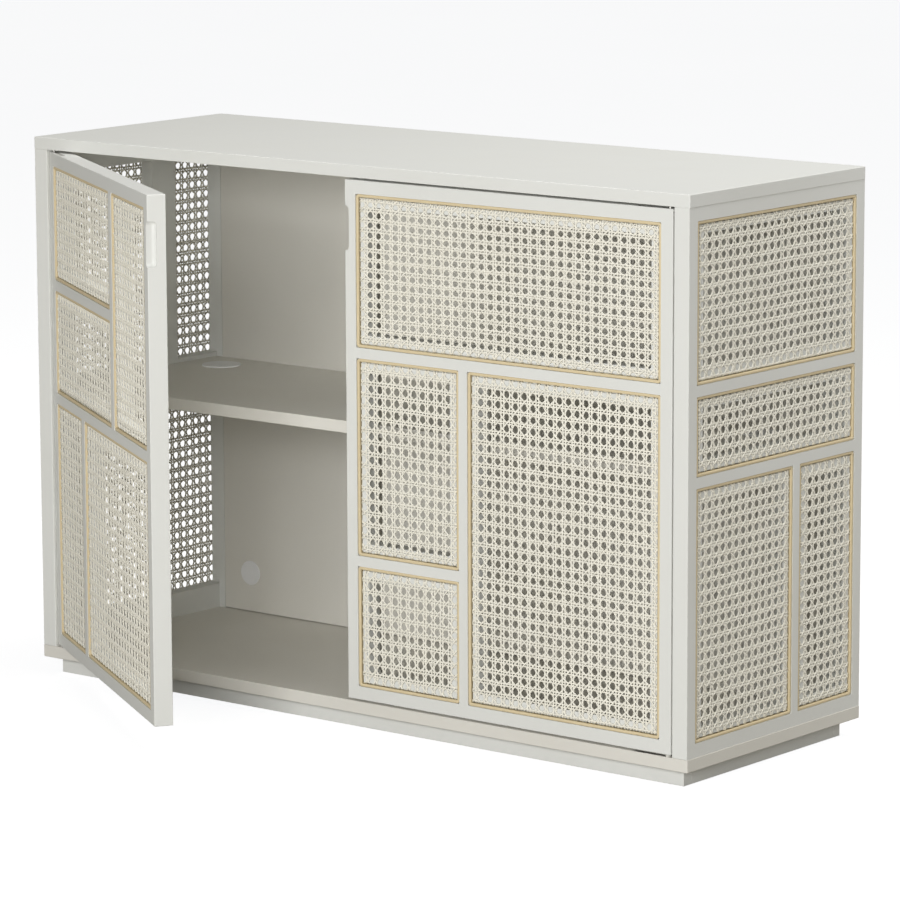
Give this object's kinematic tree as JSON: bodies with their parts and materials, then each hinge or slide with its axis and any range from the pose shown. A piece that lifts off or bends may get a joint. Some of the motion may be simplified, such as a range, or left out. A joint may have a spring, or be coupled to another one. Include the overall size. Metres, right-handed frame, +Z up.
{
  "type": "shoe cabinet",
  "caption": "Low shoe cabinet on a recessed plinth, with hinged doors and side frames of painted board filled with woven cane panels, a post behind the doors' meeting edges and one long shelf.",
  "frame": {"origin": "on the floor under the middle of the cabinet, on the underside of the plinth's cross rail", "axes": "+X along the width to the cabinet's right as seen from the front, the doors face -Y, +Z up"},
  "size_m": [1.2, 0.7231, 0.814],
  "materials": {
    "painted_board": "off-white satin paint over board",
    "cane_webbing": "bleached natural cane, woven in six ways, soft sheen",
    "reed": "natural tan reed, satin",
    "hinge_steel": "plain steel, satin",
    "screw_zinc": "bright zinc plate",
    "magnet_nickel": "nickel plate",
    "washer_nylon": "natural nylon",
    "cap_plastic": "fine matt moulding",
    "beech": "bare beech"
  },
  "bodies": {
    "cabinet": {"back_batten_left": "painted_board", "back_batten_right": "painted_board", "back_cable_caps": "cap_plastic", "back_panel": "painted_board", "back_screws": "screw_zinc", "batten_screws": "screw_zinc", "bottom_board": "painted_board", "cane_side_left_low": "cane_webbing", "cane_side_left_top_front": "cane_webbing", "cane_side_left_top_rear": "cane_webbing", "cane_side_right_band": "cane_webbing", "cane_side_right_low_front": "cane_webbing", "cane_side_right_low_rear": "cane_webbing", "cane_side_right_top": "cane_webbing", "carcass_dowels": "beech", "carcass_screws": "screw_zinc", "catch_magnets": "magnet_nickel", "centre_post": "painted_board", "hinge_plate_screws": "hinge_steel", "hinge_plates": "hinge_steel", "hinge_washers": "washer_nylon", "plinth_back": "painted_board", "plinth_cross_rail": "painted_board", "plinth_front": "painted_board", "plinth_left": "painted_board", "plinth_right": "painted_board", "plinth_screws": "screw_zinc", "reed_side_left": "reed", "reed_side_right": "reed", "shelf": "painted_board", "shelf_cable_caps": "cap_plastic", "shelf_pins": "hinge_steel", "side_frame_left": "painted_board", "side_frame_right": "painted_board", "top_board": "painted_board"},
    "left_door": {"cane_door_left_low_narrow": "cane_webbing", "cane_door_left_low_wide": "cane_webbing", "cane_door_left_middle": "cane_webbing", "cane_door_left_tall": "cane_webbing", "cane_door_left_upper": "cane_webbing", "door_frame_left": "painted_board", "hinge_leaf_screws_left": "hinge_steel", "hinge_leaves_left": "hinge_steel", "reed_door_left": "reed", "strike_plates_left": "hinge_steel", "strike_screws_left": "screw_zinc"},
    "right_door": {"cane_door_right_low": "cane_webbing", "cane_door_right_middle": "cane_webbing", "cane_door_right_tall": "cane_webbing", "cane_door_right_top": "cane_webbing", "door_frame_right": "painted_board", "hinge_leaf_screws_right": "hinge_steel", "hinge_leaves_right": "hinge_steel", "reed_door_right": "reed", "strike_plates_right": "hinge_steel", "strike_screws_right": "screw_zinc"}
  },
  "joints": [
    {"name": "left_door_hinge", "type": "hinge", "parent": "cabinet", "child": "left_door", "pos_m": [-0.5642, -0.2035, 0.4195], "axis": [0, 0, -1], "range_deg": [-33, 77]},
    {"name": "right_door_hinge", "type": "hinge", "parent": "cabinet", "child": "right_door", "pos_m": [0.5642, -0.2035, 0.4195], "axis": [0, 0, 1], "range_deg": [0, 110]}
  ]
}
